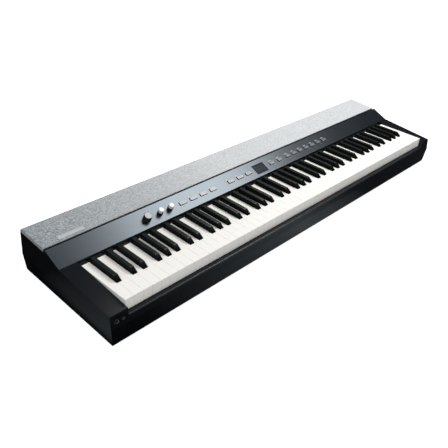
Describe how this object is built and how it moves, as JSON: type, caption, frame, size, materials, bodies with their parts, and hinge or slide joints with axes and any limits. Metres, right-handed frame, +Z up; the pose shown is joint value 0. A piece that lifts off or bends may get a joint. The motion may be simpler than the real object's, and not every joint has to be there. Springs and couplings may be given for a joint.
{
  "type": "digital piano",
  "caption": "Slab digital piano with hinged keys, a sloping control panel with buttons, knobs and a display, and a cloth-covered lid over the speakers.",
  "frame": {"origin": "on the floor under the middle of the case: bottom centre of the bounding box", "axes": "+X along the keyboard towards the treble end, -Y towards the player, +Z up"},
  "size_m": [1.315, 0.321, 0.1171],
  "materials": {
    "case": "blue-black moulded plastic with a fine grain",
    "tray": "black moulded plastic with a fine grain",
    "panel": "graphite, satin, mirror-like at a low angle",
    "cloth": "light grey woven speaker cloth, heathered",
    "board": "dark stained fibre board",
    "badge": "brushed, bare",
    "white": "moulded, semi-gloss",
    "black": "satin black, fine grain",
    "button": "silver-grey, satin",
    "knob": "black with pale caps",
    "display": "smoked window",
    "felt": "black felt",
    "circuit": "green solder mask",
    "chassis": "bare sheet metal",
    "speaker": "black basket and paper cone",
    "socket": "black moulded socket with a metal ring",
    "rubber": "black rubber"
  },
  "bodies": {
    "case": {"bottom_tray": "tray", "left_end_block": "case", "right_end_block": "case", "key_slip": "case", "rear_panel": "case", "headphone_jack": "socket", "small_headphone_jack": "socket", "pedal_jack": "socket", "power_inlet": "socket", "control_panel": "panel", "dust_felt": "felt", "display_window": "display", "panel_board": "circuit", "main_board": "circuit", "lid_board": "board", "lid_cloth": "cloth", "left_speaker": "speaker", "right_speaker": "speaker", "name_plate": "badge", "key_chassis": "chassis", "contact_board": "circuit", "left_front_foot": "rubber", "left_rear_foot": "rubber", "right_front_foot": "rubber", "right_rear_foot": "rubber"},
    "white_key_c_4": {"white_key_c_4": "white"},
    "white_key_d_4": {"white_key_d_4": "white"},
    "white_key_e_4": {"white_key_e_4": "white"},
    "white_key_f_4": {"white_key_f_4": "white"},
    "white_key_g_4": {"white_key_g_4": "white"},
    "white_key_a_4": {"white_key_a_4": "white"},
    "white_key_b_4": {"white_key_b_4": "white"},
    "black_key_c_sharp_4": {"black_key_c_sharp_4": "black"},
    "black_key_d_sharp_4": {"black_key_d_sharp_4": "black"},
    "black_key_f_sharp_4": {"black_key_f_sharp_4": "black"},
    "black_key_g_sharp_4": {"black_key_g_sharp_4": "black"},
    "black_key_a_sharp_4": {"black_key_a_sharp_4": "black"},
    "bass_white_keys": {"bass_white_keys": "white"},
    "bass_black_keys": {"bass_black_keys": "black"},
    "treble_white_keys": {"treble_white_keys": "white"},
    "treble_black_keys": {"treble_black_keys": "black"},
    "mode_button_1": {"mode_button_1": "button"},
    "mode_button_2": {"mode_button_2": "button"},
    "mode_button_3": {"mode_button_3": "button"},
    "mode_button_4": {"mode_button_4": "button"},
    "song_button_1": {"song_button_1": "button"},
    "song_button_2": {"song_button_2": "button"},
    "song_button_3": {"song_button_3": "button"},
    "value_button_1": {"value_button_1": "button"},
    "value_button_2": {"value_button_2": "button"},
    "voice_button_1": {"voice_button_1": "button"},
    "voice_button_2": {"voice_button_2": "button"},
    "voice_button_3": {"voice_button_3": "button"},
    "voice_button_4": {"voice_button_4": "button"},
    "voice_button_5": {"voice_button_5": "button"},
    "voice_button_6": {"voice_button_6": "button"},
    "voice_button_7": {"voice_button_7": "button"},
    "volume_knob": {"volume_knob": "knob"},
    "tone_knob_low": {"tone_knob_low": "knob"},
    "tone_knob_high": {"tone_knob_high": "knob"}
  },
  "joints": [
    {"name": "white_key_c_4_press", "type": "hinge", "parent": "case", "child": "white_key_c_4", "pos_m": [0, 0.07649, 0.07296], "axis": [1, 0, 0], "range_deg": [0, 2.58], "stiffness_Nm_per_rad": 1, "springref_deg": -10.31},
    {"name": "white_key_d_4_press", "type": "hinge", "parent": "case", "child": "white_key_d_4", "pos_m": [0, 0.07649, 0.07296], "axis": [1, 0, 0], "range_deg": [0, 2.58], "stiffness_Nm_per_rad": 1, "springref_deg": -10.31},
    {"name": "white_key_e_4_press", "type": "hinge", "parent": "case", "child": "white_key_e_4", "pos_m": [0, 0.07649, 0.07296], "axis": [1, 0, 0], "range_deg": [0, 2.58], "stiffness_Nm_per_rad": 1, "springref_deg": -10.31},
    {"name": "white_key_f_4_press", "type": "hinge", "parent": "case", "child": "white_key_f_4", "pos_m": [0, 0.07649, 0.07296], "axis": [1, 0, 0], "range_deg": [0, 2.58], "stiffness_Nm_per_rad": 1, "springref_deg": -10.31},
    {"name": "white_key_g_4_press", "type": "hinge", "parent": "case", "child": "white_key_g_4", "pos_m": [0, 0.07649, 0.07296], "axis": [1, 0, 0], "range_deg": [0, 2.58], "stiffness_Nm_per_rad": 1, "springref_deg": -10.31},
    {"name": "white_key_a_4_press", "type": "hinge", "parent": "case", "child": "white_key_a_4", "pos_m": [0, 0.07649, 0.07296], "axis": [1, 0, 0], "range_deg": [0, 2.58], "stiffness_Nm_per_rad": 1, "springref_deg": -10.31},
    {"name": "white_key_b_4_press", "type": "hinge", "parent": "case", "child": "white_key_b_4", "pos_m": [0, 0.07649, 0.07296], "axis": [1, 0, 0], "range_deg": [0, 2.58], "stiffness_Nm_per_rad": 1, "springref_deg": -10.31},
    {"name": "black_key_c_sharp_4_press", "type": "hinge", "parent": "case", "child": "black_key_c_sharp_4", "pos_m": [0, 0.07649, 0.07296], "axis": [1, 0, 0], "range_deg": [0, 2.58], "stiffness_Nm_per_rad": 1, "springref_deg": -10.31},
    {"name": "black_key_d_sharp_4_press", "type": "hinge", "parent": "case", "child": "black_key_d_sharp_4", "pos_m": [0, 0.07649, 0.07296], "axis": [1, 0, 0], "range_deg": [0, 2.58], "stiffness_Nm_per_rad": 1, "springref_deg": -10.31},
    {"name": "black_key_f_sharp_4_press", "type": "hinge", "parent": "case", "child": "black_key_f_sharp_4", "pos_m": [0, 0.07649, 0.07296], "axis": [1, 0, 0], "range_deg": [0, 2.58], "stiffness_Nm_per_rad": 1, "springref_deg": -10.31},
    {"name": "black_key_g_sharp_4_press", "type": "hinge", "parent": "case", "child": "black_key_g_sharp_4", "pos_m": [0, 0.07649, 0.07296], "axis": [1, 0, 0], "range_deg": [0, 2.58], "stiffness_Nm_per_rad": 1, "springref_deg": -10.31},
    {"name": "black_key_a_sharp_4_press", "type": "hinge", "parent": "case", "child": "black_key_a_sharp_4", "pos_m": [0, 0.07649, 0.07296], "axis": [1, 0, 0], "range_deg": [0, 2.58], "stiffness_Nm_per_rad": 1, "springref_deg": -10.31},
    {"name": "bass_white_keys_press", "type": "hinge", "parent": "case", "child": "bass_white_keys", "pos_m": [0, 0.07649, 0.07296], "axis": [1, 0, 0], "range_deg": [0, 2.58], "stiffness_Nm_per_rad": 23, "springref_deg": -10.31},
    {"name": "bass_black_keys_press", "type": "hinge", "parent": "case", "child": "bass_black_keys", "pos_m": [0, 0.07649, 0.07296], "axis": [1, 0, 0], "range_deg": [0, 2.58], "stiffness_Nm_per_rad": 16, "springref_deg": -10.31},
    {"name": "treble_white_keys_press", "type": "hinge", "parent": "case", "child": "treble_white_keys", "pos_m": [0, 0.07649, 0.07296], "axis": [1, 0, 0], "range_deg": [0, 2.58], "stiffness_Nm_per_rad": 22, "springref_deg": -10.31},
    {"name": "treble_black_keys_press", "type": "hinge", "parent": "case", "child": "treble_black_keys", "pos_m": [0, 0.07649, 0.07296], "axis": [1, 0, 0], "range_deg": [0, 2.58], "stiffness_Nm_per_rad": 15, "springref_deg": -10.31},
    {"name": "mode_button_1_press", "type": "slide", "parent": "case", "child": "mode_button_1", "axis": [0, 0.3688, -0.9295], "range_m": [0, 0.001], "stiffness_N_per_m": 300, "springref_m": -0.001},
    {"name": "mode_button_2_press", "type": "slide", "parent": "case", "child": "mode_button_2", "axis": [0, 0.3688, -0.9295], "range_m": [0, 0.001], "stiffness_N_per_m": 300, "springref_m": -0.001},
    {"name": "mode_button_3_press", "type": "slide", "parent": "case", "child": "mode_button_3", "axis": [0, 0.3688, -0.9295], "range_m": [0, 0.001], "stiffness_N_per_m": 300, "springref_m": -0.001},
    {"name": "mode_button_4_press", "type": "slide", "parent": "case", "child": "mode_button_4", "axis": [0, 0.3688, -0.9295], "range_m": [0, 0.001], "stiffness_N_per_m": 300, "springref_m": -0.001},
    {"name": "song_button_1_press", "type": "slide", "parent": "case", "child": "song_button_1", "axis": [0, 0.3688, -0.9295], "range_m": [0, 0.001], "stiffness_N_per_m": 300, "springref_m": -0.001},
    {"name": "song_button_2_press", "type": "slide", "parent": "case", "child": "song_button_2", "axis": [0, 0.3688, -0.9295], "range_m": [0, 0.001], "stiffness_N_per_m": 300, "springref_m": -0.001},
    {"name": "song_button_3_press", "type": "slide", "parent": "case", "child": "song_button_3", "axis": [0, 0.3688, -0.9295], "range_m": [0, 0.001], "stiffness_N_per_m": 300, "springref_m": -0.001},
    {"name": "value_button_1_press", "type": "slide", "parent": "case", "child": "value_button_1", "axis": [0, 0.3688, -0.9295], "range_m": [0, 0.001], "stiffness_N_per_m": 300, "springref_m": -0.001},
    {"name": "value_button_2_press", "type": "slide", "parent": "case", "child": "value_button_2", "axis": [0, 0.3688, -0.9295], "range_m": [0, 0.001], "stiffness_N_per_m": 300, "springref_m": -0.001},
    {"name": "voice_button_1_press", "type": "slide", "parent": "case", "child": "voice_button_1", "axis": [0, 0.3688, -0.9295], "range_m": [0, 0.001], "stiffness_N_per_m": 300, "springref_m": -0.001},
    {"name": "voice_button_2_press", "type": "slide", "parent": "case", "child": "voice_button_2", "axis": [0, 0.3688, -0.9295], "range_m": [0, 0.001], "stiffness_N_per_m": 300, "springref_m": -0.001},
    {"name": "voice_button_3_press", "type": "slide", "parent": "case", "child": "voice_button_3", "axis": [0, 0.3688, -0.9295], "range_m": [0, 0.001], "stiffness_N_per_m": 300, "springref_m": -0.001},
    {"name": "voice_button_4_press", "type": "slide", "parent": "case", "child": "voice_button_4", "axis": [0, 0.3688, -0.9295], "range_m": [0, 0.001], "stiffness_N_per_m": 300, "springref_m": -0.001},
    {"name": "voice_button_5_press", "type": "slide", "parent": "case", "child": "voice_button_5", "axis": [0, 0.3688, -0.9295], "range_m": [0, 0.001], "stiffness_N_per_m": 300, "springref_m": -0.001},
    {"name": "voice_button_6_press", "type": "slide", "parent": "case", "child": "voice_button_6", "axis": [0, 0.3688, -0.9295], "range_m": [0, 0.001], "stiffness_N_per_m": 300, "springref_m": -0.001},
    {"name": "voice_button_7_press", "type": "slide", "parent": "case", "child": "voice_button_7", "axis": [0, 0.3688, -0.9295], "range_m": [0, 0.001], "stiffness_N_per_m": 300, "springref_m": -0.001},
    {"name": "volume_knob_turn", "type": "hinge", "parent": "case", "child": "volume_knob", "pos_m": [-0.404, 0.03624, 0.10075], "axis": [0, -0.3688, 0.9295], "range_deg": [-150, 150]},
    {"name": "tone_knob_low_turn", "type": "hinge", "parent": "case", "child": "tone_knob_low", "pos_m": [-0.3635, 0.03624, 0.10075], "axis": [0, -0.3688, 0.9295], "range_deg": [-150, 150]},
    {"name": "tone_knob_high_turn", "type": "hinge", "parent": "case", "child": "tone_knob_high", "pos_m": [-0.3315, 0.03624, 0.10075], "axis": [0, -0.3688, 0.9295], "range_deg": [-150, 150]}
  ]
}
